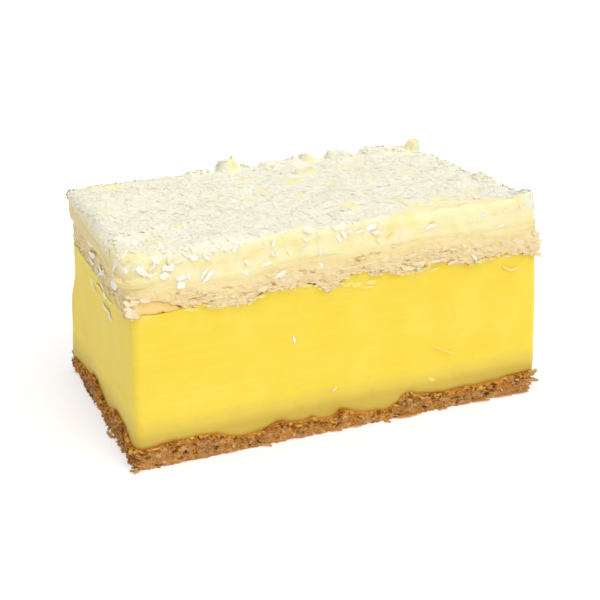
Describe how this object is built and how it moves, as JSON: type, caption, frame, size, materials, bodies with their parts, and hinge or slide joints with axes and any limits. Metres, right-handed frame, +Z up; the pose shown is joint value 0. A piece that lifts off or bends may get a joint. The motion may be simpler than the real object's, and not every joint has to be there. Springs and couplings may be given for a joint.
{
  "type": "vanilla slice",
  "caption": "Rectangular slice of set custard between a browned and a pale flaky pastry sheet, topped with icing and shredded coconut.",
  "frame": {"origin": "on the surface the slice stands on, under the middle of its outline", "axes": "+X along the slice's length, +Y from its front cut face to its back, +Z up through the layers"},
  "size_m": [0.1024, 0.0587, 0.0511],
  "materials": {
    "base_pastry": "dry, flaky and browned",
    "custard": "moist and smooth, cut by a knife",
    "top_pastry": "dry, flaky and pale",
    "icing": "soft satin, under shredded coconut"
  },
  "bodies": {
    "root": {"base_pastry": "base_pastry", "custard": "custard", "top_pastry": "top_pastry", "icing": "icing"}
  },
  "joints": []
}
